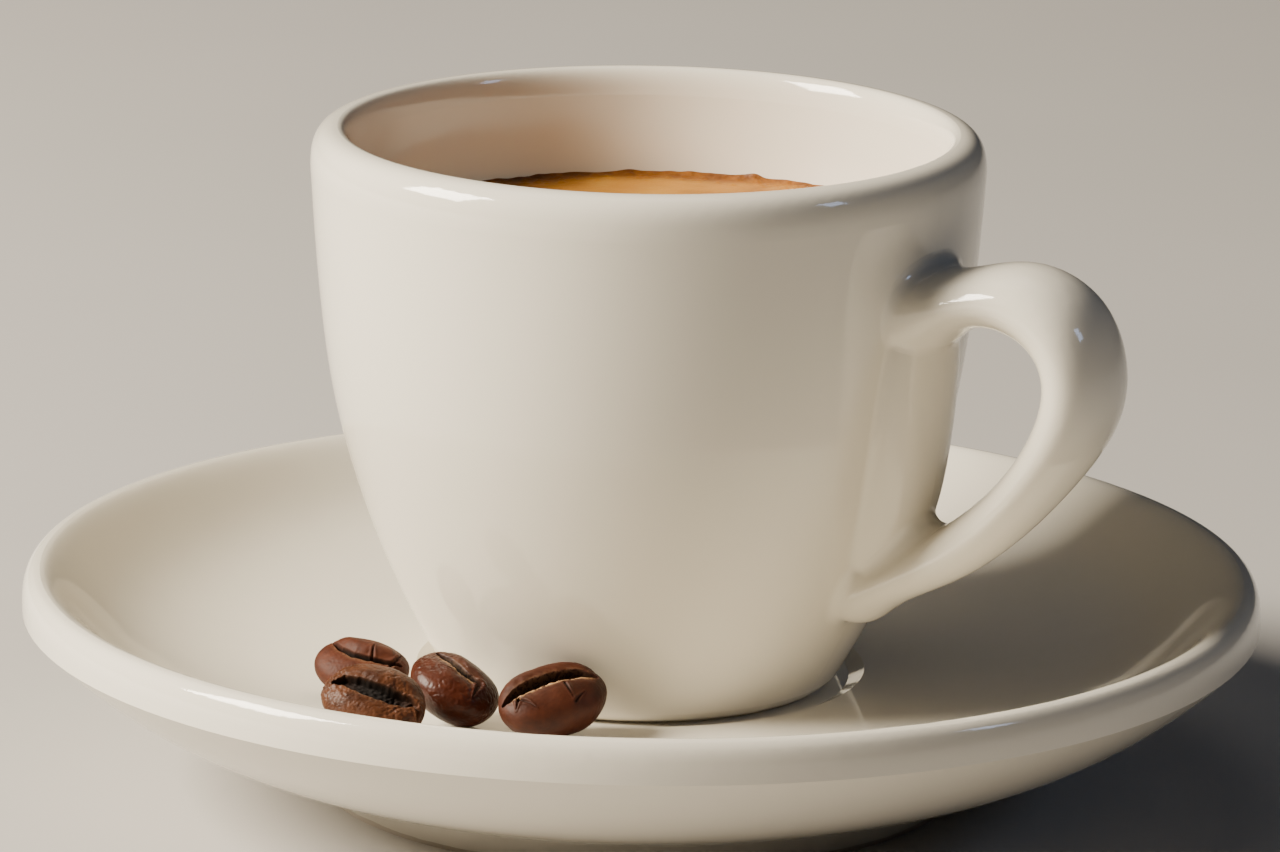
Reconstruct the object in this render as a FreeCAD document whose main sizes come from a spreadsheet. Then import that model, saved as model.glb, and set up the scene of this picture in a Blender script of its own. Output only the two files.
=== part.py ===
"""Espresso shot: a heavy porcelain cup with a ring handle, filled with espresso under its foam,
on its saucer with four roasted coffee beans beside the cup.

Millimetres. The origin is the centre of the saucer's foot on the table, +Z is up and the
handle points along +X. Every size that can be chosen alone is a named cell of the sheet, and
what fits or rests on another piece is measured from that piece's own cells.
"""
import FreeCAD, Part
import math
import os
import Sketcher
from FreeCAD import Placement, Rotation, Vector

doc = FreeCAD.newDocument("EspressoShot")
sheet = doc.addObject("Spreadsheet::Sheet", "Sizes")

SIZES = {
    # overall sizes: the saucer from the table, the cup from its seat in the saucer
    "saucer_radius": 60.0, "saucer_height": 21.1, "cup_radius": 32.35, "cup_height": 54.0,
    # saucer: foot ring and the hollow inside it
    "foot_radius": 31.4, "foot_width": 2.0, "foot_draft": 1.0, "foot_edge": 0.5,
    "foot_flare": 0.7, "foot_height": 2.9, "floor_thick": 5.1,
    # saucer: round belly, up and out from the foot and in from the rim
    "belly_one_out": 4.3, "belly_one_up": 1.0, "belly_two_in": 17.9, "belly_two_up": 2.7,
    "belly_three_in": 6.7, "belly_three_down": 10.5,
    # saucer: thick rounded rim
    "rim_band": 3.9, "rim_lean": 0.2, "rim_crest_in": 1.7, "rim_inner_in": 3.1,
    # saucer: dished well, and the seat with the cup's clearance in it
    "well_one_in": 7.4, "well_one_up": 4.1, "well_two_in": 19.0, "well_two_up": 1.4,
    "well_three_out": 11.2, "well_three_up": 0.8, "ledge_out": 1.5, "ledge_up": 0.75,
    "seat_height": 10.5, "seat_clearance": 3.1,
    # cup: standing ring and the rounded edge of its base
    "stand_radius": 17.2, "stand_width": 2.6, "stand_draft": 1.0, "stand_hollow": 0.9,
    "base_edge_out": 1.4, "base_round_out": 2.3, "base_round_up": 1.2,
    # cup: bowl and wall, in from the widest radius and up from the seat
    "bowl_one_in": 8.25, "bowl_one_up": 9.1, "bowl_two_in": 2.95, "bowl_two_up": 22.7,
    "bowl_three_in": 0.95, "bowl_three_up": 34.3,
    # cup: lip
    "lip_drop": 4.1, "lip_swell": 0.25, "lip_crest_in": 2.55, "lip_inner_in": 3.65,
    "mouth_drop": 2.7, "wall_thick": 3.85,
    # cup: inside wall, further in than the mouth and up from the floor
    "inside_one_in": 0.6, "inside_one_up": 35.6, "inside_two_in": 2.1, "inside_two_up": 20.6,
    "inside_three_in": 6.5, "inside_three_up": 0.6, "floor_flat_in": 8.2, "cup_floor_thick": 4.9,
    # strap of the handle: its stations out from the cup's widest radius and up from the seat
    "strap_one_out": -3.75, "strap_one_up": 39.1, "strap_one_thick": 6.6, "strap_one_wide": 13.0,
    "strap_two_out": 2.25, "strap_two_up": 41.9, "strap_two_thick": 6.2, "strap_two_wide": 12.2,
    "strap_three_out": 8.35, "strap_three_up": 43.2, "strap_three_thick": 6.4, "strap_three_wide": 11.6,
    "strap_four_out": 14.35, "strap_four_up": 40.7, "strap_four_thick": 7.0, "strap_four_wide": 11.6,
    "strap_five_out": 16.15, "strap_five_up": 34.9, "strap_five_thick": 6.5, "strap_five_wide": 11.4,
    "strap_six_out": 13.25, "strap_six_up": 28.1, "strap_six_thick": 5.5, "strap_six_wide": 11.0,
    "strap_seven_out": 7.85, "strap_seven_up": 21.8, "strap_seven_thick": 5.1, "strap_seven_wide": 10.4,
    "strap_eight_out": 1.65, "strap_eight_up": 17.0, "strap_eight_thick": 5.05, "strap_eight_wide": 9.4,
    "strap_nine_out": -4.75, "strap_nine_up": 13.35, "strap_nine_thick": 5.1, "strap_nine_wide": 8.8,
    "strap_ten_out": -11.0, "strap_ten_up": 11.95, "strap_ten_thick": 4.2, "strap_ten_wide": 8.0,
    # pad of the handle, half sunk in the wall inside the ring
    "pad_one_out": -10.75, "pad_one_up": 12.2, "pad_one_deep": 6.6, "pad_one_wide": 6.4,
    "pad_two_out": -6.2, "pad_two_up": 17.0, "pad_two_deep": 8.8, "pad_two_wide": 8.8,
    "pad_three_out": -3.55, "pad_three_up": 24.0, "pad_three_deep": 7.8, "pad_three_wide": 10.8,
    "pad_four_out": -2.45, "pad_four_up": 32.5, "pad_four_deep": 7.0, "pad_four_wide": 12.4,
    "pad_five_out": -2.35, "pad_five_up": 41.0, "pad_five_deep": 7.2, "pad_five_wide": 11.0,
    "handle_blend": 1.4,
    # drink: how far the foam lies below the lip, its depth and its raised edge at the wall
    "foam_drop": 10.7, "foam_deep": 2.6, "foam_edge_in": 3.9, "foam_rise_in": 2.1, "foam_edge_up": 0.7,
    # crease of every bean, and the gap that the beans keep above the saucer
    "crease_wide": 0.9, "crease_deep": 1.5, "crease_share": 0.94, "rest_gap": 0.01,
}

COUNTING = ["one", "two", "three", "four", "five", "six", "seven", "eight", "nine", "ten"]

# Each bean: length, width, depth of its round back and of its creased face, how far out its
# middle lies from the sum of the cup's widest radius and standing radius, which both shape the
# side it lies beside, at what angle round the cup, and how it is turned, tipped along its
# length and rolled about its length, in degrees.
BEANS = {
    "bean_1": dict(long=9.4, wide=7.0, back=3.1, face=2.1, out=-19.3, round=-118.4, turn=23, tip=-5, roll=24),
    "bean_2": dict(long=10.2, wide=7.6, back=3.3, face=2.3, out=-11.78, round=-98.1, turn=22, tip=-10, roll=40),
    "bean_3": dict(long=9.6, wide=7.6, back=3.3, face=2.3, out=-21.52, round=-95.5, turn=-7, tip=-24, roll=4),
    "bean_4": dict(long=11.0, wide=7.9, back=3.8, face=2.4, out=-22.15, round=-74.3, turn=58, tip=9, roll=19),
}
for bean_name, bean_sizes in BEANS.items():
    for word, value in bean_sizes.items():
        SIZES[bean_name + "_" + word] = value

for row, (alias, value) in enumerate(SIZES.items(), 1):
    sheet.set("A%d" % row, alias)
    sheet.set("B%d" % row, str(value))
    sheet.setAlias("B%d" % row, alias)
doc.recompute()


def total(cells):
    """The sum of some cells, named in one string. A minus sign before a name takes it away."""
    result = 0.0
    for cell in cells.split():
        value = float(sheet.get(cell.lstrip("-")))
        result += -value if cell.startswith("-") else value
    return result


def formula(cells):
    """The same sum as an expression."""
    terms = ["- Sizes." + cell[1:] if cell.startswith("-") else "+ Sizes." + cell for cell in cells.split()]
    return " ".join(terms).lstrip("+ ")


# Profile points: the cells that add up to the radius and the height. An empty radius is the
# axis and an empty height is the table.
WELL = "seat_height"
RIM = "saucer_height"
LIP = "seat_height cup_height"
CUP_FLOOR = "seat_height cup_floor_thick"
MOUTH = "cup_radius -wall_thick"
FOAM = LIP + " -foam_drop"
POINTS = {
    "under_axis": ("", WELL + " -floor_thick"),
    "under": ("foot_radius -foot_width -foot_draft", WELL + " -floor_thick"),
    "foot_inner_top": ("foot_radius -foot_width", "foot_edge"),
    "foot_inner": ("foot_radius -foot_width", ""),
    "foot_outer": ("foot_radius", ""),
    "foot_root": ("foot_radius foot_flare", "foot_height"),
    "belly_one": ("foot_radius belly_one_out", "foot_height belly_one_up"),
    "belly_two": ("saucer_radius -belly_two_in", "foot_height belly_two_up"),
    "belly_three": ("saucer_radius -belly_three_in", RIM + " -belly_three_down"),
    "saucer_side": ("saucer_radius", RIM + " -rim_band"),
    "rim_outer": ("saucer_radius rim_lean", RIM),
    "rim_crest": ("saucer_radius -rim_crest_in", RIM),
    "rim_inner": ("saucer_radius -rim_inner_in", RIM),
    "well_one": ("saucer_radius -well_one_in", WELL + " well_one_up"),
    "well_two": ("saucer_radius -well_two_in", WELL + " well_two_up"),
    "well_three": ("stand_radius seat_clearance ledge_out well_three_out", WELL + " well_three_up"),
    "ledge": ("stand_radius seat_clearance ledge_out", WELL + " ledge_up"),
    "seat": ("stand_radius seat_clearance", WELL),
    "seat_axis": ("", WELL),
    "hollow_axis": ("", WELL + " stand_hollow"),
    "hollow": ("stand_radius -stand_width -stand_draft", WELL + " stand_hollow"),
    "stand_inner": ("stand_radius -stand_width", WELL),
    "stand_outer": ("stand_radius", WELL),
    "base_edge": ("stand_radius base_edge_out", WELL),
    "base_round": ("stand_radius base_round_out", WELL + " base_round_up"),
    "bowl_one": ("cup_radius -bowl_one_in", WELL + " bowl_one_up"),
    "bowl_two": ("cup_radius -bowl_two_in", WELL + " bowl_two_up"),
    "bowl_three": ("cup_radius -bowl_three_in", WELL + " bowl_three_up"),
    "cup_side": ("cup_radius", LIP + " -lip_drop"),
    "lip_outer": ("cup_radius lip_swell", LIP),
    "lip_crest": ("cup_radius -lip_crest_in", LIP),
    "lip_axis": ("", LIP),
    "lip_inner": ("cup_radius -lip_inner_in", LIP),
    "mouth": (MOUTH, LIP + " -mouth_drop"),
    "inside_one": (MOUTH + " -inside_one_in", CUP_FLOOR + " inside_one_up"),
    "inside_two": (MOUTH + " -inside_two_in", CUP_FLOOR + " inside_two_up"),
    "inside_three": (MOUTH + " -inside_three_in", CUP_FLOOR + " inside_three_up"),
    "cup_floor": ("stand_radius -floor_flat_in", CUP_FLOOR),
    "cup_floor_axis": ("", CUP_FLOOR),
    "foam_axis": ("", FOAM),
    "foam_flat": (MOUTH + " -foam_edge_in", FOAM),
    "foam_rise": (MOUTH + " -foam_rise_in", FOAM + " foam_edge_up"),
    "foam_wall": ("cup_radius", FOAM + " foam_edge_up"),
    "liquid_wall": ("cup_radius", FOAM + " -foam_deep"),
    "liquid_axis": ("", FOAM + " -foam_deep"),
    "table_wall": ("cup_radius", ""),
    "table_axis": ("", ""),
}


def new_body(label):
    """An empty body with its own label."""
    body = doc.addObject("PartDesign::Body", label)
    body.Label = label
    return body


def new_sketch(body, name, role):
    """A sketch on one of the body's own origin planes."""
    sketch = body.newObject("Sketcher::SketchObject", name)
    plane = [item for item in body.Origin.OriginFeatures if item.Role == role][0]
    sketch.AttachmentSupport = [(plane, "")]
    sketch.MapMode = "FlatFace"
    return sketch


def point_of(name):
    """A profile point as a vector in the sketch."""
    radius, height = POINTS[name]
    return Vector(total(radius), total(height), 0)


def pin(sketch, geometry, vertex, name):
    """Tie one vertex of a sketch to its cells, or to an axis of the sketch."""
    spot = point_of(name)
    radius, height = POINTS[name]
    for kind, cells, value, axis in (("DistanceX", radius, spot.x, -2), ("DistanceY", height, spot.y, -1)):
        if cells:
            index = sketch.addConstraint(Sketcher.Constraint(kind, -1, 1, geometry, vertex, value))
            sketch.setExpression("Constraints[%d]" % index, formula(cells))
        else:
            sketch.addConstraint(Sketcher.Constraint("PointOnObject", geometry, vertex, axis))


def outline(body, name, runs):
    """A closed half outline in the XZ plane. A run of two points is a straight line, and a
    longer run is a smooth curve led by the points between its ends."""
    sketch = new_sketch(body, name, "XZ_Plane")
    edges = []
    for run in runs:
        spots = [point_of(word) for word in run]
        if len(run) == 2:
            edge = sketch.addGeometry(Part.LineSegment(spots[0], spots[1]), False)
        else:
            curve = Part.BSplineCurve()
            curve.buildFromPoles(spots, False, min(3, len(spots) - 1))
            edge = sketch.addGeometry(curve, False)
            first_pole = sketch.GeometryCount
            sketch.exposeInternalGeometry(edge)
            for step, word in enumerate(run[1:-1], 1):
                pin(sketch, first_pole + step, 3, word)
        pin(sketch, edge, 1, run[0])
        edges.append(edge)
    for edge, following in zip(edges, edges[1:] + edges[:1]):
        sketch.addConstraint(Sketcher.Constraint("Coincident", edge, 2, following, 1))
    doc.recompute()
    return sketch


def turned(body, name, sketch, kind="PartDesign::Revolution"):
    """Turn an outline a full round about the upright axis."""
    solid = body.newObject(kind, name)
    solid.Profile = sketch
    solid.ReferenceAxis = (sketch, ["V_Axis"])
    solid.Angle = 360
    doc.recompute()
    return solid


# Saucer: one turned piece of porcelain standing on a narrow foot ring.
saucer = new_body("saucer")
turned(saucer, "SaucerTurned", outline(saucer, "SaucerOutline", [
    ["under_axis", "under"],
    ["under", "foot_inner_top"],
    ["foot_inner_top", "foot_inner"],
    ["foot_inner", "foot_outer"],
    ["foot_outer", "foot_root"],
    ["foot_root", "belly_one", "belly_two", "belly_three", "saucer_side"],
    ["saucer_side", "rim_outer", "rim_crest"],
    ["rim_crest", "rim_inner", "well_one", "well_two", "well_three", "ledge"],
    ["ledge", "seat"],
    ["seat", "seat_axis"],
    ["seat_axis", "under_axis"],
]))

# Cup: the turned outside is solid at first, the handle is joined to it and the inside is cut last.
cup = new_body("cup")
turned(cup, "CupTurned", outline(cup, "CupOutline", [
    ["hollow_axis", "hollow"],
    ["hollow", "stand_inner"],
    ["stand_inner", "stand_outer"],
    ["stand_outer", "base_edge", "base_round"],
    ["base_round", "bowl_one", "bowl_two", "bowl_three", "cup_side"],
    ["cup_side", "lip_outer", "lip_crest"],
    ["lip_crest", "lip_axis"],
    ["lip_axis", "hollow_axis"],
]))


def oval(body, name, stem, deep, angle=""):
    """One oval section of the handle at its station, turned about Y where it has an angle."""
    sketch = new_sketch(body, name, "XY_Plane")
    across = (Vector(0, total(stem + "_wide") / 2, 0), stem + "_wide", "Vertical")
    through = (Vector(total(stem + deep) / 2, 0, 0), stem + deep, "Horizontal")
    longer, shorter = sorted([across, through], key=lambda side: -side[0].Length)
    ellipse = sketch.addGeometry(Part.Ellipse(longer[0], shorter[0], Vector(0, 0, 0)), False)
    sketch.exposeInternalGeometry(ellipse)
    sketch.addConstraint(Sketcher.Constraint("Coincident", ellipse, 3, -1, 1))
    sketch.addConstraint(Sketcher.Constraint(longer[2], ellipse + 1))
    for axis, side in enumerate([longer, shorter], 1):
        index = sketch.addConstraint(Sketcher.Constraint("Distance", ellipse + axis, total(side[1])))
        sketch.setExpression("Constraints[%d]" % index, formula(side[1]))
    out = "cup_radius %s_out" % stem
    up = "seat_height %s_up" % stem
    any_turn = 10
    sketch.AttachmentOffset = Placement(Vector(total(out), 0, total(up)),
                                        Rotation(Vector(0, 1, 0), any_turn if angle else 0))
    sketch.setExpression("AttachmentOffset.Base.x", formula(out))
    sketch.setExpression("AttachmentOffset.Base.z", formula(up))
    if angle:
        sketch.setExpression("AttachmentOffset.Rotation.Angle", angle)
    return sketch


def lofted(body, name, sketches):
    """A smooth solid through a row of sections."""
    loft = body.newObject("PartDesign::AdditiveLoft", name)
    loft.Profile = sketches[0]
    loft.Sections = sketches[1:]
    doc.recompute()
    return loft


# Strap: oval sections square to the line from one neighbouring station to the other.
stations = ["strap_" + word for word in COUNTING]
strap_sections = []
for index, stem in enumerate(stations):
    before = stations[max(index - 1, 0)]
    after = stations[min(index + 1, len(stations) - 1)]
    run = "Sizes.%s_out - Sizes.%s_out" % (after, before)
    rise = "Sizes.%s_up - Sizes.%s_up" % (after, before)
    strap_sections.append(oval(cup, "Strap" + COUNTING[index].title(), stem, "_thick",
                               "atan2(%s; %s)" % (run, rise)))
doc.recompute()
lofted(cup, "Strap", strap_sections)

# Pad: level oval sections that stand half sunk in the wall.
pad_sections = [oval(cup, "Pad" + word.title(), "pad_" + word, "_deep") for word in COUNTING[:5]]
doc.recompute()
pad = lofted(cup, "WallPad", pad_sections)


def meeting_edges(shape, first, second):
    """Names of the edges along which a face of one kind of surface meets one of another."""
    names = []
    for number, edge in enumerate(shape.Edges, 1):
        faces = [face for face in shape.Faces if any(edge.isSame(side) for side in face.Edges)]
        kinds = sorted(type(face.Surface).__name__ for face in faces)
        if kinds == sorted([first, second]):
            names.append("Edge%d" % number)
    return names


# The handle runs into the wall, and its strap into its pad, with a soft blend.
blend = cup.newObject("PartDesign::Fillet", "HandleBlend")
blend.Base = (pad, meeting_edges(pad.Shape, "BSplineSurface", "SurfaceOfRevolution")
              + meeting_edges(pad.Shape, "BSplineSurface", "BSplineSurface"))
blend.Radius = total("handle_blend")
blend.setExpression("Radius", formula("handle_blend"))
doc.recompute()

# Inside of the cup, cut last so that nothing of the handle stands into it.
INSIDE = [
    ["lip_axis", "lip_crest"],
    ["lip_crest", "lip_inner", "mouth"],
    ["mouth", "inside_one", "inside_two", "inside_three", "cup_floor"],
    ["cup_floor", "cup_floor_axis"],
    ["cup_floor_axis", "lip_axis"],
]
turned(cup, "CupInside", outline(cup, "InsideOutline", INSIDE), "PartDesign::Groove")


def drink_layer(label, runs):
    """What the cup's inside holds between two levels, shaped by its own outline."""
    space = new_body(label + "_space")
    turned(space, label + "_space_turned", outline(space, label + "_space_outline", INSIDE))
    span = new_body(label + "_span")
    turned(span, label + "_span_turned", outline(span, label + "_span_outline", runs))
    return joined(label, space, span, "Part::Common")


def joined(label, base, tool, kind):
    """Two solids joined by the named boolean."""
    solid = doc.addObject(kind, label)
    solid.Base = base
    solid.Tool = tool
    solid.Label = label
    doc.recompute()
    return solid


# Drink: the liquid, and the foam that floats on it and climbs a little at the wall.
espresso = drink_layer("espresso", [
    ["table_axis", "table_wall"],
    ["table_wall", "liquid_wall"],
    ["liquid_wall", "liquid_axis"],
    ["liquid_axis", "table_axis"],
])
crema = drink_layer("crema", [
    ["liquid_axis", "liquid_wall"],
    ["liquid_wall", "foam_wall"],
    ["foam_wall", "foam_rise"],
    ["foam_rise", "foam_flat"],
    ["foam_flat", "foam_axis"],
    ["foam_axis", "liquid_axis"],
])


def half_oval(bean, depth, low, high):
    """Half of a bean, cut at its widest level: its round back or its creased face."""
    half = doc.addObject("Part::Ellipsoid", "%s_%s" % (bean, depth))
    half.Angle1 = low
    half.Angle2 = high
    half.setExpression("Radius1", "Sizes.%s_%s" % (bean, depth))
    half.setExpression("Radius2", "Sizes.%s_long / 2" % bean)
    half.setExpression("Radius3", "Sizes.%s_wide / 2" % bean)
    return half


def rest(piece, support):
    """Lower a piece until it all but touches what it lies on."""
    gap = piece.Shape.distToShape(support.Shape)[0]
    while gap > total("rest_gap"):
        place = piece.Placement
        piece.Placement = Placement(place.Base - Vector(0, 0, gap - total("rest_gap") / 2), place.Rotation)
        gap = piece.Shape.distToShape(support.Shape)[0]


def coffee_bean(bean):
    """One roasted bean with a crease along its face, laid on the saucer."""
    whole = joined(bean + "_whole", half_oval(bean, "back", -90, 0), half_oval(bean, "face", 0, 90),
                   "Part::Fuse")
    crease = doc.addObject("Part::Ellipsoid", bean + "_crease")
    crease.Angle1 = -90
    crease.Angle2 = 90
    crease.setExpression("Radius1", "Sizes.crease_deep")
    crease.setExpression("Radius2", "Sizes.%s_long * Sizes.crease_share / 2" % bean)
    crease.setExpression("Radius3", "Sizes.crease_wide / 2")
    crease.setExpression("Placement.Base.z", "Sizes.%s_face" % bean)
    creased = joined(bean, whole, crease, "Part::Cut")
    reach = total("cup_radius stand_radius %s_out" % bean)
    angle = math.radians(total(bean + "_round"))
    creased.Placement = Placement(
        Vector(reach * math.cos(angle), reach * math.sin(angle), total(RIM)),
        Rotation(total(bean + "_turn"), -total(bean + "_tip"), total(bean + "_roll")))
    rest(creased, saucer)
    return creased


subparts = [saucer, cup, espresso, crema] + [coffee_bean(bean) for bean in BEANS]

for item in doc.Objects:
    if "Invalid" in item.State or "Error" in item.State:
        raise RuntimeError("%s did not build: %s" % (item.Name, item.State))
for subpart in subparts:
    if subpart.Shape.isNull() or not subpart.Shape.isValid() or len(subpart.Shape.Solids) != 1:
        raise RuntimeError("%s is not one valid solid" % subpart.Label)

os.makedirs("parts", exist_ok=True)
for subpart in subparts:
    subpart.Shape.exportStep("parts/%s.step" % subpart.Label)
    middle = subpart.Shape.Solids[0].CenterOfMass
    print("%-9s %9.1f mm3, middle %6.2f %6.2f %6.2f" % (subpart.Label, subpart.Shape.Volume, *middle))
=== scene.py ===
import math

import bpy
import numpy as np
from mathutils import Matrix, Vector


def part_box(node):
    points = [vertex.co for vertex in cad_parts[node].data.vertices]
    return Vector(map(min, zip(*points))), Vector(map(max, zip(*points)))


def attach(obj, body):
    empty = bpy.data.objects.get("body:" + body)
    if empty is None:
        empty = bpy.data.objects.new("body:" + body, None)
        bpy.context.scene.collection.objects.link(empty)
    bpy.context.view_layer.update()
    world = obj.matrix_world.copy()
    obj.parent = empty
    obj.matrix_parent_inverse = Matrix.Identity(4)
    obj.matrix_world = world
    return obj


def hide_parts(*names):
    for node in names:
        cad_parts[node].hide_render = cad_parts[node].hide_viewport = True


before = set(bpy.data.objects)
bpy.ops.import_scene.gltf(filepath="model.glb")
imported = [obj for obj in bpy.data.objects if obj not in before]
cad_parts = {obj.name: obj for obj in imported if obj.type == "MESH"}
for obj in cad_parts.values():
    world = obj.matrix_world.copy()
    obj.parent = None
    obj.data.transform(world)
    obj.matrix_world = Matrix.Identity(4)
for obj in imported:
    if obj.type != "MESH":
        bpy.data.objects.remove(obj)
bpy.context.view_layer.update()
scene = bpy.context.scene

# ---------------------------------------------------------------- camera
# A long lens looks slightly down at the cup with its handle turned to the right and a third
# of the way forward, and leans a little so that the table drops to the right.

HANDLE_TURN = math.radians(33.0)


def seen_from(across, away, up):
    """A spot given as it lies from the viewer: to the right, away and up, in metres."""
    return Vector((across * math.cos(HANDLE_TURN) - away * math.sin(HANDLE_TURN),
                   across * math.sin(HANDLE_TURN) + away * math.cos(HANDLE_TURN), up))


camera_data = bpy.data.cameras.new("table_camera")
camera_data.lens = 200.33
camera_data.sensor_width = 36.0
camera_data.clip_start = 0.05
camera = bpy.data.objects.new("table_camera", camera_data)
scene.collection.objects.link(camera)
camera_pitch = math.radians(14.265)
camera_lean = math.radians(0.944)
camera_distance = 0.6882
look_at = seen_from(-0.00042, 0.0, 0.03502)
ahead = seen_from(0.0, math.cos(camera_pitch), -math.sin(camera_pitch))
level = seen_from(1.0, 0.0, 0.0)
upright = level.cross(ahead)
camera_right = level * math.cos(camera_lean) + upright * math.sin(camera_lean)
camera_up = upright * math.cos(camera_lean) - level * math.sin(camera_lean)
camera_place = look_at - ahead * camera_distance
camera.matrix_world = Matrix((
    (camera_right.x, camera_up.x, -ahead.x, camera_place.x),
    (camera_right.y, camera_up.y, -ahead.y, camera_place.y),
    (camera_right.z, camera_up.z, -ahead.z, camera_place.z),
    (0.0, 0.0, 0.0, 1.0)))
scene.camera = camera

# ---------------------------------------------------------------- floor
# The floor is a plain pale board, sealed matt, with a faint cloudy tone. It is wide enough
# to fill the view behind the saucer.

floor_half = 1.6
floor_dark, floor_light = (0.46, 0.445, 0.42), (0.52, 0.50, 0.475)
floor_roughness = 0.7

floor_mesh = bpy.data.meshes.new("floor")
floor_mesh.from_pydata([(-floor_half, -floor_half, 0), (floor_half, -floor_half, 0),
                        (floor_half, floor_half, 0), (-floor_half, floor_half, 0)], [], [(0, 1, 2, 3)])
floor = bpy.data.objects.new("floor", floor_mesh)
scene.collection.objects.link(floor)


def new_material(name):
    """A node material with one surface shader: the material, its node tree and the shader."""
    made = bpy.data.materials.new(name)
    made.use_nodes = True
    tree = made.node_tree
    tree.nodes.clear()
    shader = tree.nodes.new("ShaderNodeBsdfPrincipled")
    output = tree.nodes.new("ShaderNodeOutputMaterial")
    tree.links.new(shader.outputs["BSDF"], output.inputs["Surface"])
    return made, tree, shader


def node(tree, kind, **settings):
    """A node with the named settings, each for one of its inputs or one of its own fields."""
    made = tree.nodes.new(kind)
    for name, value in settings.items():
        if name in made.inputs:
            made.inputs[name].default_value = value
        else:
            setattr(made, name, value)
    return made


def own_place(tree):
    """The place on the object itself, for a pattern that stays with it."""
    return node(tree, "ShaderNodeTexCoord").outputs["Object"]


def noise(tree, place, **settings):
    """A cloudy mask around one half."""
    made = node(tree, "ShaderNodeTexNoise", **settings)
    tree.links.new(place, made.inputs["Vector"])
    return made.outputs["Fac"]


def toned(tree, mask, *stops):
    """A colour that follows a mask through stops, each a position and a linear colour."""
    made = node(tree, "ShaderNodeValToRGB")
    while len(made.color_ramp.elements) < len(stops):
        made.color_ramp.elements.new(0.5)
    for element, (position, colour) in zip(made.color_ramp.elements, stops):
        element.position = position
        element.color = colour + (1.0,)
    tree.links.new(mask, made.inputs["Fac"])
    return made.outputs["Color"]


floor_material, tree, shader = new_material("pale_floor")
clouds = noise(tree, own_place(tree), Scale=3.0, Detail=4.0)
tree.links.new(toned(tree, clouds, (0.35, floor_dark), (0.65, floor_light)), shader.inputs["Base Color"])
shader.inputs["Roughness"].default_value = floor_roughness
floor_mesh.materials.append(floor_material)

# ---------------------------------------------------------------- light
# A warm diffuser high on the left stands for a window and a small cool one on the right for
# another, and a weak one overhead softens the back. The room around them is dim.

cup_middle = Vector((0.0, 0.0, 0.035))
room_glow = (0.009, 0.010, 0.014)


def diffuser(name, spot, size, watts, colour):
    """A rectangular diffuser aimed at the middle of the cup."""
    data = bpy.data.lights.new(name, "AREA")
    data.shape = "RECTANGLE"
    data.size, data.size_y = size
    data.energy = watts
    data.color = colour
    lamp = bpy.data.objects.new(name, data)
    lamp.location = spot
    lamp.rotation_euler = (cup_middle - spot).to_track_quat("-Z", "Y").to_euler()
    scene.collection.objects.link(lamp)


diffuser("window_left", seen_from(-0.86, -0.15, 0.61), (0.44, 0.46), 40.0, (1.0, 0.90, 0.75))
diffuser("window_right", seen_from(0.85, -0.30, 0.60), (0.14, 0.20), 0.7, (0.50, 0.66, 1.0))
diffuser("overhead", seen_from(-0.1, 0.30, 0.9), (0.5, 0.4), 0.5, (1.0, 0.95, 0.88))
world = bpy.data.worlds.new("studio")
scene.world = world
world.use_nodes = True
world.node_tree.nodes["Background"].inputs["Color"].default_value = room_glow + (1.0,)
world.node_tree.nodes["Background"].inputs["Strength"].default_value = 1.0

# ---------------------------------------------------------------- saucer
# A turned porcelain saucer, fired and dipped in a clear glossy glaze. The glaze is wiped off
# the foot ring before firing, so that ring stays bare and matt.

porcelain_white = (0.80, 0.755, 0.65)
warmer_white = (0.66, 0.60, 0.50)
speck_brown = (0.10, 0.075, 0.05)
bisque_tan = (0.52, 0.46, 0.38)
speck_rarity = 0.982
speck_core, speck_rim, speck_strength = 0.012, 0.026, 0.75
bare_raggedness = 0.0004
bare_roughness = 0.75
glaze_smoothest, glaze_roughest = 0.055, 0.11
glaze_ripple = 0.00004
glaze_index = 1.52


def arithmetic(tree, operation, *terms):
    """A new mask worked out from masks and plain numbers."""
    made = node(tree, "ShaderNodeMath", operation=operation)
    for slot, term in zip(made.inputs, terms):
        if isinstance(term, float):
            slot.default_value = term
        else:
            tree.links.new(term, slot)
    return made.outputs["Value"]


def stretched(tree, mask, low, high, new_low=0.0, new_high=1.0, **settings):
    """A mask moved from one range to another and held within it."""
    made = node(tree, "ShaderNodeMapRange", **settings)
    for name, value in (("From Min", low), ("From Max", high), ("To Min", new_low), ("To Max", new_high)):
        made.inputs[name].default_value = value
    tree.links.new(mask, made.inputs["Value"])
    return made.outputs["Result"]


def blended(tree, mask, under, over):
    """The under colour with the over colour laid on it by a mask, each a link or a plain colour."""
    made = node(tree, "ShaderNodeMix", data_type="RGBA")
    tree.links.new(mask, made.inputs["Factor"])
    for name, colour in (("A", under), ("B", over)):
        if isinstance(colour, tuple):
            made.inputs[name].default_value = colour + (1.0,)
        else:
            tree.links.new(colour, made.inputs[name])
    return made.outputs["Result"]


def finish_group(name, values, results):
    """A node group with named sockets: the group, what it is given and what it puts out."""
    group = bpy.data.node_groups.new(name, "ShaderNodeTree")
    for way, sockets in (("INPUT", values), ("OUTPUT", results)):
        for label, kind in sockets:
            group.interface.new_socket(label, in_out=way, socket_type="NodeSocket" + kind)
    return group, node(group, "NodeGroupInput").outputs, node(group, "NodeGroupOutput").inputs


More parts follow.
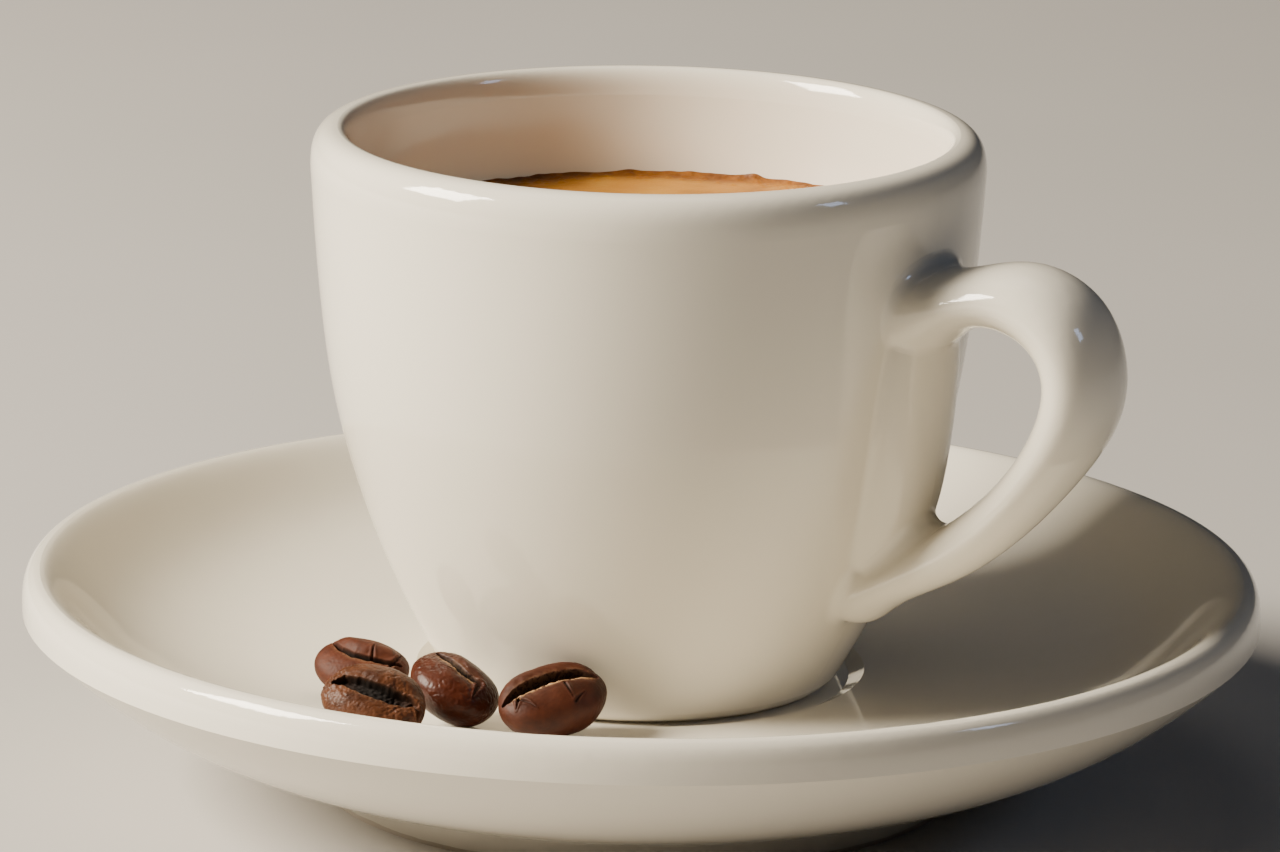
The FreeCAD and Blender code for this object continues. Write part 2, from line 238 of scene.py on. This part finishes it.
glaze_group, given, result = finish_group(
    "porcelain_glaze",
    [("Body Colour", "Color"), ("Bare Height", "Float"), ("Tone Shift", "Float"), ("Wave", "Float")],
    [("Colour", "Color"), ("Roughness", "Float"), ("Normal", "Vector")])
place = own_place(glaze_group)
thickness = noise(glaze_group, place, Scale=28.0, Detail=3.0, Roughness=0.5)
warmth = arithmetic(glaze_group, "MULTIPLY", stretched(glaze_group, thickness, 0.3, 0.7), given["Tone Shift"])
glaze_colour = blended(glaze_group, warmth, given["Body Colour"], warmer_white)

specks = node(glaze_group, "ShaderNodeTexVoronoi", Scale=95.0)
glaze_group.links.new(place, specks.inputs["Vector"])
speck_pick = node(glaze_group, "ShaderNodeSeparateColor")
glaze_group.links.new(specks.outputs["Color"], speck_pick.inputs["Color"])
rare = arithmetic(glaze_group, "GREATER_THAN", speck_pick.outputs["Red"], speck_rarity)
small = stretched(glaze_group, specks.outputs["Distance"], speck_core, speck_rim, speck_strength, 0.0)
speck = arithmetic(glaze_group, "MULTIPLY", rare, small)
glaze_colour = blended(glaze_group, speck, glaze_colour, speck_brown)

spot = node(glaze_group, "ShaderNodeSeparateXYZ")
glaze_group.links.new(place, spot.inputs["Vector"])
ragged = noise(glaze_group, place, Scale=240.0, Detail=2.0)
glaze_edge = arithmetic(glaze_group, "MULTIPLY_ADD", ragged, bare_raggedness, given["Bare Height"])
bare = arithmetic(glaze_group, "LESS_THAN", spot.outputs["Z"], glaze_edge)
glaze_group.links.new(blended(glaze_group, bare, glaze_colour, bisque_tan), result["Colour"])

sheen = stretched(glaze_group, thickness, 0.0, 1.0, glaze_smoothest, glaze_roughest)
bare_sheen = arithmetic(glaze_group, "MULTIPLY", bare, bare_roughness)
glaze_group.links.new(arithmetic(glaze_group, "MAXIMUM", bare_sheen, sheen), result["Roughness"])
wavy = noise(glaze_group, place, Scale=160.0, Detail=2.0, Roughness=0.4)
ripple = node(glaze_group, "ShaderNodeBump", Distance=glaze_ripple)
glaze_group.links.new(wavy, ripple.inputs["Height"])
glaze_group.links.new(given["Wave"], ripple.inputs["Strength"])
glaze_group.links.new(ripple.outputs["Normal"], result["Normal"])


def porcelain(name, bare_height, tone_shift, wave):
    """Glazed white porcelain, bare below a height, with how cloudy and how wavy its glaze is."""
    made, tree, shader = new_material(name)
    glaze = node(tree, "ShaderNodeGroup", node_tree=glaze_group)
    glaze.inputs["Body Colour"].default_value = porcelain_white + (1.0,)
    glaze.inputs["Bare Height"].default_value = bare_height
    glaze.inputs["Tone Shift"].default_value = tone_shift
    glaze.inputs["Wave"].default_value = wave
    tree.links.new(glaze.outputs["Colour"], shader.inputs["Base Color"])
    tree.links.new(glaze.outputs["Roughness"], shader.inputs["Roughness"])
    tree.links.new(glaze.outputs["Normal"], shader.inputs["Normal"])
    shader.inputs["IOR"].default_value = glaze_index
    return made


def dress(name, material):
    """Give a piece of the frame its material."""
    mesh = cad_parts[name].data
    mesh.materials.clear()
    mesh.materials.append(material)


saucer_bare = 0.0003
dress("saucer", porcelain("saucer_porcelain", saucer_bare, 0.12, 0.35))

# ---------------------------------------------------------------- cup
# A slip-cast porcelain cup with its handle stuck on with slip before firing, in the same
# glaze as the saucer. Only its narrow standing ring is bare.

cup_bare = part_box("cup")[0].z + 0.0002
dress("cup", porcelain("cup_porcelain", cup_bare, 0.12, 0.35))

# ---------------------------------------------------------------- espresso
# Black coffee pressed through finely ground beans, thick with oils. It fills the cup up to
# the underside of its foam.

coffee_black, coffee_brown = (0.012, 0.005, 0.002), (0.035, 0.014, 0.006)
coffee_roughness = 0.08
coffee_index = 1.34

coffee, tree, shader = new_material("black_coffee")
oils = noise(tree, own_place(tree), Scale=180.0, Detail=3.0, Distortion=0.6)
tree.links.new(toned(tree, oils, (0.35, coffee_black), (0.7, coffee_brown)), shader.inputs["Base Color"])
shader.inputs["Roughness"].default_value = coffee_roughness
shader.inputs["IOR"].default_value = coffee_index
dress("espresso", coffee)

# ---------------------------------------------------------------- crema
# The fine golden foam that floats on the coffee. It clings to the porcelain in an uneven brown
# ring of small bubbles, a little above its own level, as the cup was moved while it settled.

foam_dark_gold, foam_gold, foam_pale_gold = (0.33, 0.128, 0.010), (0.44, 0.185, 0.017), (0.51, 0.235, 0.027)
foam_rust, foam_pale_rust = (0.10, 0.027, 0.002), (0.25, 0.085, 0.007)
foam_rings, foam_around = 84, 560
foam_crowding = 0.45
bottom_bevel = 0.0004
raised_edge = 0.0028
same_height = 0.00001
into_wall = 0.00012
climb_right, climb_left_fall, climb_lean = 0.00074, 0.00052, 0.00008
climb_least, climb_most = 0.00018, 0.0016
climb_swells = ((0.00016, 0.9, 12, 3), (0.00013, 0.16, 16, 4), (0.00007, 0.07, 20, 5))
bump_turn, bump_height, bump_width = math.radians(68.0), 0.00045, 0.035
meniscus_width = 0.00042
swell_height, swell_length = 0.00004, 0.006
bubble_count = 900
bubble_smallest, bubble_largest = 0.00008, 0.00030
bubble_scatter = 0.0011
bubble_flatness = 0.7
bubble_columns = 12
ring_fade, ring_fade_swing = 0.0021, 0.0009

foam_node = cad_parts["crema"]
foam_points = np.array([foam_node.matrix_world @ vertex.co for vertex in foam_node.data.vertices])
foam_reach = np.hypot(foam_points[:, 0], foam_points[:, 1])
foam_low, foam_high = foam_points[:, 2].min(), foam_points[:, 2].max()
foam_level = foam_points[foam_reach < foam_reach.max() - raised_edge, 2].max()
wall_low = foam_reach[foam_points[:, 2] < foam_low + same_height].max()
wall_high = foam_reach[foam_points[:, 2] > foam_high - same_height].max()
wall_slope = (wall_high - wall_low) / (foam_high - foam_low)


def waves(points, length, count, seed):
    """Smooth random swells about one length long, between about -1 and 1."""
    chance = np.random.default_rng(seed)
    way = chance.normal(size=(count, points.shape[1]))
    way /= np.linalg.norm(way, axis=1)[:, None]
    pace = 2.0 * math.pi / (length * chance.uniform(0.7, 1.5, count))
    phase = chance.uniform(0.0, 2.0 * math.pi, count)
    return np.cos(points @ (way * pace[:, None]).T + phase).sum(axis=1) / math.sqrt(count) * 0.8


def step(low, high, value):
    """A soft step from 0 to 1."""
    share = np.clip((value - low) / (high - low), 0.0, 1.0)
    return share * share * (3.0 - 2.0 * share)


def skin_of_rings(name, rows, start, end, masks, material):
    """A closed smooth piece that rides on the part: rings of points with one point at each end,
    and masks that give each ring point a value."""
    ring_count, around = rows.shape[0], rows.shape[1]
    points = np.concatenate([[start], rows.reshape(-1, 3), [end]])
    last = len(points) - 1
    column = np.arange(around)
    after = (column + 1) % around
    faces = [(0, 1 + b, 1 + a) for a, b in zip(column, after)]
    for ring in range(ring_count - 1):
        low = 1 + ring * around
        faces += [(low + a, low + b, low + around + b, low + around + a) for a, b in zip(column, after)]
    low = 1 + (ring_count - 1) * around
    faces += [(low + a, low + b, last) for a, b in zip(column, after)]
    mesh = bpy.data.meshes.new(name)
    mesh.from_pydata(points.tolist(), [], faces)
    mesh.polygons.foreach_set("use_smooth", np.ones(len(faces), dtype=bool))
    for label, values in masks.items():
        mask = mesh.attributes.new(label, "FLOAT", "POINT")
        mask.data.foreach_set("value", np.concatenate([[values[0]], values, [values[-1]]]).astype(np.float32))
    mesh.materials.append(material)
    piece = bpy.data.objects.new(name, mesh)
    scene.collection.objects.link(piece)
    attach(piece, "root")
    return piece


def mask_of(tree, name):
    """A mask that was worked out with the mesh."""
    return node(tree, "ShaderNodeAttribute", attribute_name=name).outputs["Fac"]


crema_material, tree, shader = new_material("crema_foam")
place = own_place(tree)
mottle = noise(tree, place, Scale=420.0, Detail=5.0, Roughness=0.62, Distortion=0.8)
streak = noise(tree, place, Scale=90.0, Detail=4.0, Distortion=1.6)
ragged_ring = arithmetic(tree, "MULTIPLY_ADD", mottle, 0.55, mask_of(tree, "ring"))
browned = stretched(tree, ragged_ring, 0.42, 1.02, interpolation_type="SMOOTHSTEP")
gold = toned(tree, streak, (0.30, foam_dark_gold), (0.52, foam_gold), (0.72, foam_pale_gold))
rust = toned(tree, mottle, (0.30, foam_rust), (0.62, foam_pale_rust))
tree.links.new(blended(tree, browned, gold, rust), shader.inputs["Base Color"])
pores = node(tree, "ShaderNodeTexVoronoi", Scale=3200.0)
tree.links.new(place, pores.inputs["Vector"])
pore_bump = node(tree, "ShaderNodeBump", Strength=0.45, Distance=0.00006)
tree.links.new(pores.outputs["Distance"], pore_bump.inputs["Height"])
tree.links.new(pore_bump.outputs["Normal"], shader.inputs["Normal"])
tree.links.new(stretched(tree, mottle, 0.0, 1.0, 0.45, 0.65), shader.inputs["Roughness"])
shader.inputs["Specular IOR Level"].default_value = 0.3
shader.inputs["Subsurface Weight"].default_value = 0.12
shader.inputs["Subsurface Radius"].default_value = (1.0, 0.5, 0.2)
shader.inputs["Subsurface Scale"].default_value = 0.0012

# The foam's climb up the wall, from the handle's side down to the far side, with one raised spot.
angle = np.linspace(0.0, 2.0 * math.pi, foam_around, endpoint=False)
circle = np.stack([np.cos(angle), np.sin(angle)], axis=1)
left_share = 0.5 - 0.5 * np.cos(angle - HANDLE_TURN)
climb = climb_right - climb_left_fall * left_share ** 1.6 - climb_lean * left_share
for swell_size, length, count, seed in climb_swells:
    climb += swell_size * waves(circle, length, count, seed)
from_bump = (angle - HANDLE_TURN - bump_turn + math.pi) % (2.0 * math.pi) - math.pi
climb += bump_height * np.exp(-(from_bump / bump_width) ** 2)
climb = np.clip(climb, climb_least, climb_most)

# The surface: rings closer together at the wall, gently swollen, with the edge drawn up the wall.
wall_here = wall_low + wall_slope * (foam_level + climb - foam_low) + into_wall
outward = np.linspace(0.0, 1.0, foam_rings + 1)[1:] ** foam_crowding
reach = outward[:, None] * wall_here[None, :]
flat = np.stack([reach * np.cos(angle), reach * np.sin(angle)], axis=-1)
inward = wall_here[None, :] - reach
swell = waves(flat.reshape(-1, 2), swell_length, 14, 6).reshape(reach.shape) * swell_height
meniscus = climb[None, :] * np.exp(-inward / meniscus_width)
rise = swell * step(0.0, 0.002, inward) + meniscus

# Bubbles crowd at the wall, each a low dome.
chance = np.random.default_rng(11)
for bubble in range(bubble_count):
    size = chance.uniform(bubble_smallest, bubble_largest)
    turn = chance.uniform(0.0, 2.0 * math.pi)
    column = int(turn / (2.0 * math.pi) * foam_around) % foam_around
    middle = wall_here[column] - into_wall - abs(chance.normal(0.0, bubble_scatter)) - size
    columns = (np.arange(column - bubble_columns, column + bubble_columns + 1)) % foam_around
    apart = np.hypot(flat[:, columns, 0] - middle * math.cos(turn),
                     flat[:, columns, 1] - middle * math.sin(turn))
    dome = np.sqrt(np.clip(size ** 2 - apart ** 2, 0.0, None)) * bubble_flatness
    rise[:, columns] = np.maximum(rise[:, columns], meniscus[:, columns] + dome)

# The brown ring fades inward, more slowly in some places than in others.
fade = ring_fade + ring_fade_swing * waves(circle, 0.35, 14, 8)[None, :].clip(-0.9, 1.5)
ring = np.exp(-inward / fade) * (1.05 + 0.20 * waves(circle, 0.5, 12, 9)[None, :])
top_rows = np.concatenate([flat, (foam_level + rise)[..., None]], axis=-1)
under_rows = np.stack([
    np.stack([radius * np.cos(angle), radius * np.sin(angle), np.full(foam_around, height)], axis=-1)
    for radius, height in ((wall_low + into_wall, foam_low + bottom_bevel),
                           (wall_low, foam_low), (wall_low * 0.5, foam_low))])
ring_mask = np.concatenate([ring.reshape(-1), np.ones(len(under_rows) * foam_around)])
crema_piece = skin_of_rings("crema_foam", np.concatenate([top_rows, under_rows]), (0.0, 0.0, foam_level),
                            (0.0, 0.0, foam_low), {"ring": ring_mask}, crema_material)
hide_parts("crema")

# ---------------------------------------------------------------- roasted beans
# Four beans from a dark roast: each has a round back and a flatter face, split by a crease
# whose lips curled over in the heat. The drier ones wrinkled, and papery bits of the inner
# husk are still caught in the creases.

# Painted shade: the crease and the cracks are painted near black, standing in for the shade that falls in
# them.
painted_crease_shade = (0.004, 0.002, 0.0013)
husk_tan = (0.50, 0.29, 0.14)
crease_roughness = 0.40
patch_roughness = 0.22
pit_depth = 0.00005
skin_shine = 0.24

skin_group, given, result = finish_group(
    "roasted_skin",
    [("Light Tone", "Color"), ("Dark Tone", "Color"), ("Husk", "Float"), ("Dull", "Float"),
     ("Grain", "Float")],
    [("Colour", "Color"), ("Roughness", "Float"), ("Normal", "Vector")])
place = own_place(skin_group)
crease_mask = mask_of(skin_group, "crease")
cloudy = noise(skin_group, place, Scale=520.0, Detail=5.0, Roughness=0.6)
roast = stretched(skin_group, cloudy, 0.34, 0.66)
skin_colour = blended(skin_group, roast, given["Dark Tone"], given["Light Tone"])
# Painted shade: the skin is painted near black where the crease mask lies, in the crease and the cracks.
skin_colour = blended(skin_group, crease_mask, skin_colour, painted_crease_shade)
flakes = noise(skin_group, place, Scale=2600.0, Detail=2.0, Distortion=1.0)
flake_pick = stretched(skin_group, flakes, 0.42, 0.52)
flake_edge = arithmetic(skin_group, "MULTIPLY", flake_pick, mask_of(skin_group, "edge"))
flake_share = arithmetic(skin_group, "MULTIPLY", flake_edge, given["Husk"])
skin_group.links.new(blended(skin_group, flake_share, skin_colour, husk_tan), result["Colour"])
patches = arithmetic(skin_group, "MULTIPLY_ADD", cloudy, patch_roughness, given["Dull"])
skin_group.links.new(arithmetic(skin_group, "MULTIPLY_ADD", crease_mask, crease_roughness, patches),
                     result["Roughness"])
pits = noise(skin_group, place, Scale=3800.0, Detail=3.0, Roughness=0.6)
pit_bump = node(skin_group, "ShaderNodeBump", Distance=pit_depth)
skin_group.links.new(pits, pit_bump.inputs["Height"])
skin_group.links.new(given["Grain"], pit_bump.inputs["Strength"])
skin_group.links.new(pit_bump.outputs["Normal"], result["Normal"])


def bean_skin(name, light_tone, dark_tone, husk, dull, grain):
    """Roasted skin: its two tones, and how husky, dull and grainy it is."""
    made, tree, shader = new_material(name)
    skin = node(tree, "ShaderNodeGroup", node_tree=skin_group)
    skin.inputs["Light Tone"].default_value = light_tone + (1.0,)
    skin.inputs["Dark Tone"].default_value = dark_tone + (1.0,)
    skin.inputs["Husk"].default_value = husk
    skin.inputs["Dull"].default_value = dull
    skin.inputs["Grain"].default_value = grain
    tree.links.new(skin.outputs["Colour"], shader.inputs["Base Color"])
    tree.links.new(skin.outputs["Roughness"], shader.inputs["Roughness"])
    tree.links.new(skin.outputs["Normal"], shader.inputs["Normal"])
    shader.inputs["Specular IOR Level"].default_value = skin_shine
    return made


def near_line(spots, x, y):
    """How far points lie from a bent line, and how far along it from 0 to 1."""
    spots = np.array(spots)
    lengths = np.linalg.norm(np.diff(spots, axis=0), axis=1)
    best = np.full(x.shape, np.inf)
    along = np.zeros(x.shape)
    done = 0.0
    for first, second, length in zip(spots[:-1], spots[1:], lengths):
        way = (second - first) / length
        share = np.clip((x - first[0]) * way[0] + (y - first[1]) * way[1], 0.0, length)
        apart = np.hypot(x - first[0] - way[0] * share, y - first[1] - way[1] * share)
        closer = apart < best
        best = np.where(closer, apart, best)
        along = np.where(closer, (done + share) / lengths.sum(), along)
        done += length
    return best, along


def bean_blank(long, wide, back, face):
    """A smooth bean in millimetres, along x with its face up: rings of points and their outward
    directions. The columns stand closer together on the face, where the crease is cut."""
    rings, around, crowding = 170, 210, 0.72
    theta = np.linspace(0.0, math.pi, rings + 2)[1:-1]
    even = np.linspace(-math.pi, math.pi, around, endpoint=False)
    phi = math.pi / 2.0 + even - crowding * np.sin(even)
    x = -np.cos(theta)[:, None] * long / 2.0 * np.ones(around)
    y = np.sin(theta)[:, None] * np.cos(phi) * wide / 2.0
    up = np.sin(phi)
    z = np.sin(theta)[:, None] * np.where(up > 0.0, up * face, up * back)
    outward = np.stack([x / (long / 2.0) ** 2, y / (wide / 2.0) ** 2,
                        z / np.where(z > 0.0, face, back) ** 2], axis=-1)
    outward /= np.linalg.norm(outward, axis=-1)[..., None]
    return np.stack([x, y, z], axis=-1), outward


def open_crease(plain, on_face, long, crease, gape, far_lip, near_lip, tear):
    """The crease in four maps over the bean: how far its lips push the skin out in millimetres,
    and from 0 to 1 how deep it is cut, how dark its painted shade is and where husk hangs on its near edge."""
    lip_width, lip_dip = 0.55, 0.22
    lobe_middle, lobe_width, lobe_lean = 1.0, 0.9, 0.3
    husk_width = 0.24
    x, y = plain[..., 0], plain[..., 1]
    apart, along = near_line(crease, x, y)
    ends = np.clip(1.0 - np.abs(2.0 * along - 1.0) ** 3.0, 0.0, 1.0) ** 0.7
    half = gape * (0.35 + 0.65 * ends) * (1.0 + 0.10 * tear)
    line_y = np.interp(x, [spot[0] for spot in crease], [spot[1] for spot in crease])
    far = step(-0.25, 0.25, y - line_y)
    beyond = np.clip(apart - half, 0.0, None)
    lip = np.exp(-(beyond / lip_width) ** 2) * on_face * ends
    lobe = np.exp(-((beyond - lobe_middle) / lobe_width) ** 2) * on_face * ends
    out = -lip_dip * lip + lobe * (far_lip * far * (1.0 + lobe_lean * x / long) + near_lip * (1.0 - far))
    groove = (1.0 - step(0.55 * half, 1.05 * half, apart)) * on_face * (0.45 + 0.55 * ends)
    # Painted shade: the inside of the crease is painted dark where shade falls in it.
    painted_shade = (1.0 - step(0.80 * half, 1.12 * half, apart)) * on_face * (0.4 + 0.6 * ends)
    husk_edge = np.exp(-((apart - half) / husk_width) ** 2) * on_face * ends * (1.10 - far)
    return out, groove, painted_shade, np.clip(husk_edge, 0.0, 1.0)


def cut_cracks(cracks, plain, on_face, out, painted_shade):
    """Short cracks that thin out along their lines, each with a width, a depth and its line. The
    skin beside each one is pushed up a little, and each crack is darkened with painted shade. Gives the
    changed maps."""
    for width, deep, line in cracks:
        apart, along = near_line(line, plain[..., 0], plain[..., 1])
        thin = width * (1.15 - along)
        cut = np.exp(-(apart / thin) ** 2) * on_face
        out = out - deep * cut * (1.1 - 0.8 * along)
        out = out + 0.35 * deep * np.exp(-((apart - 2.6 * thin) / (1.6 * thin)) ** 2) * on_face
        # Painted shade: each crack is painted dark along its line.
        painted_shade = np.maximum(painted_shade, 0.75 * cut * (1.15 - along))
    return out, painted_shade


def wrinkles(spots, wrinkle, seed):
    """How far broad unevenness and shrivelled ridges draw the skin in, in millimetres."""
    uneven_depth, ridge_depth, fine_depth = 0.09, 0.085, 0.035
    uneven = (1.0 + waves(spots, 4.2, 10, seed + 1)).clip(0.0, 2.0)
    ridges = 1.0 - np.abs(waves(spots * (0.7, 1.3, 1.3), 0.95, 22, seed + 2))
    fine = 1.0 + waves(spots, 0.33, 30, seed + 3)
    patchy = wrinkle * (0.35 + 0.65 * step(-0.2, 0.8, waves(spots, 5.0, 6, seed + 4)))
    return uneven_depth * uneven + patchy * (ridge_depth * ridges ** 2 + fine_depth * fine)


def roasted_bean(name, long, wide, back, face, turn, tip, roll, crease, gape, depth, far_lip, near_lip,
                 cracks, wrinkle, light_tone, dark_tone, husk, dull, grain, seed):
    """One bean in place of its plain one, sizes and lines in millimetres and turns in degrees.
    The crease and the cracks are lines on its face, and a lip is how far its lobe stands up."""
    plain, outward = bean_blank(long, wide, back, face)
    shape = plain.shape[:2]
    spots = plain.reshape(-1, 3)
    on_face = step(-0.4, 0.5, plain[..., 2])
    tear = waves(spots, 0.8, 18, seed).reshape(shape)
    out, groove, painted_shade, husk_edge = open_crease(plain, on_face, long, crease, gape, far_lip, near_lip, tear)
    out, painted_shade = cut_cracks(cracks, plain, on_face, out, painted_shade)
    out = out - wrinkles(spots, wrinkle, seed).reshape(shape)
    torn_floor = 0.045 * waves(spots, 0.42, 26, seed + 5).reshape(shape)
    points = plain + outward * out[..., None]
    points[..., 2] -= groove * (depth + torn_floor)

    # The bean is turned as it lies, and its plain shape is laid on the middle of the node's box.
    millimetre = 0.001
    yaw, pitch, bank = math.radians(turn), math.radians(-tip), math.radians(roll)
    turned = np.array(Matrix.Rotation(yaw, 3, "Z") @ Matrix.Rotation(pitch, 3, "Y")
                      @ Matrix.Rotation(bank, 3, "X")).T * millimetre
    ends = np.array([(-long / 2.0, 0.0, 0.0), (long / 2.0, 0.0, 0.0)])
    smooth = np.concatenate([spots, ends]) @ turned
    low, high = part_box(name)
    middle = (np.array(low) + np.array(high)) / 2.0 - (smooth.min(axis=0) + smooth.max(axis=0)) / 2.0
    tip_inset = np.array([(0.1, 0.0, 0.0), (-0.1, 0.0, 0.0)])
    start, end = (ends + tip_inset) @ turned + middle
    rows = (points @ turned + middle)[:, ::-1]
    # The crease mask carries the painted shade of the crease and the cracks.
    masks = {"crease": painted_shade[:, ::-1].reshape(-1), "edge": husk_edge[:, ::-1].reshape(-1)}
    skin = bean_skin(name + "_skin", light_tone, dark_tone, husk, dull, grain)
    piece = skin_of_rings(name + "_roasted", rows, start, end, masks, skin)
    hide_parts(name)


# The far bean is smooth, its crease runs over its end in a notch, and its far lip is the higher.
roasted_bean("bean_1", long=9.4, wide=7.0, back=3.1, face=2.1, turn=23.0, tip=-5.0, roll=24.0,
             crease=[(-3.4, 2.1), (-2.75, 1.0), (-2.2, 0.35), (-1.6, 0.0), (-0.78, -0.53), (0.49, -0.72),
                     (1.95, -0.72), (3.14, -0.59), (3.95, -0.3)],
             gape=0.30, depth=1.0, far_lip=0.45, near_lip=-0.05,
             cracks=[(0.10, 0.22, [(1.2, -0.61), (1.02, 0.35), (1.04, 1.27)]),
                     (0.11, 0.25, [(3.3, -0.5), (3.46, 0.36), (3.7, 1.42)]),
                     (0.14, 0.25, [(3.1, -0.6), (3.07, -1.5)])],
             wrinkle=0.25, light_tone=(0.088, 0.0215, 0.0075), dark_tone=(0.048, 0.0110, 0.0042),
             husk=0.15, dull=0.50, grain=0.25, seed=21)

# The near bean is dry and dull: a wide torn crease, and wrinkled lobes.
roasted_bean("bean_2", long=10.2, wide=7.6, back=3.3, face=2.3, turn=22.0, tip=-10.0, roll=40.0,
             crease=[(-3.95, 0.15), (-3.08, 0.48), (-1.63, 0.20), (0.16, -0.10), (1.89, -0.22),
                     (3.3, -0.1), (4.1, -0.1)],
             gape=0.90, depth=1.2, far_lip=0.12, near_lip=0.06,
             cracks=[(0.16, 0.40, [(3.87, 0.0), (4.45, -0.49), (4.62, -1.5)])],
             wrinkle=1.3, light_tone=(0.112, 0.038, 0.0140), dark_tone=(0.042, 0.013, 0.0050),
             husk=0.10, dull=0.34, grain=1.0, seed=41)

# The middle bean is oily, with a narrow crease full of husk that forks at its near end.
roasted_bean("bean_3", long=9.6, wide=7.6, back=3.3, face=2.3, turn=-7.0, tip=-24.0, roll=4.0,
             crease=[(-3.6, 0.55), (-3.1, 0.50), (-1.67, 0.30), (0.41, -0.05), (1.82, 0.2), (2.5, 0.5)],
             gape=0.50, depth=1.1, far_lip=0.15, near_lip=0.12,
             cracks=[(0.16, 0.35, [(2.35, 0.45), (2.78, -0.57), (3.23, -1.39)]),
                     (0.12, 0.25, [(2.2, 0.27), (2.76, 0.83)]),
                     (0.10, 0.14, [(0.2, -0.4), (-0.9, -1.1), (-1.7, -1.2)])],
             wrinkle=0.55, light_tone=(0.066, 0.0150, 0.0054), dark_tone=(0.034, 0.0075, 0.0032),
             husk=0.7, dull=0.24, grain=0.6, seed=61)

# The bean beside the cup shows a wide open crease under an arched lip, and short cracks.
roasted_bean("bean_4", long=11.0, wide=7.9, back=3.8, face=2.4, turn=58.0, tip=9.0, roll=19.0,
             crease=[(-5.0, 0.10), (-3.67, 0.35), (-1.77, 0.62), (0.79, 0.66), (2.85, 0.45), (4.4, -0.15)],
             gape=0.88, depth=1.7, far_lip=0.30, near_lip=0.06,
             cracks=[(0.10, 0.22, [(0.8, -0.9), (0.82, -2.18), (0.94, -3.02)]),
                     (0.09, 0.16, [(0.94, -3.02), (2.4, -2.13)]),
                     (0.12, 0.26, [(-3.95, -0.6), (-4.03, -0.83), (-4.54, -1.5)]),
                     (0.11, 0.25, [(-3.9, -0.7), (-3.25, -1.53), (-2.77, -2.42)])],
             wrinkle=0.30, light_tone=(0.064, 0.0150, 0.0046), dark_tone=(0.035, 0.0080, 0.0027),
             husk=1.0, dull=0.42, grain=0.3, seed=81)
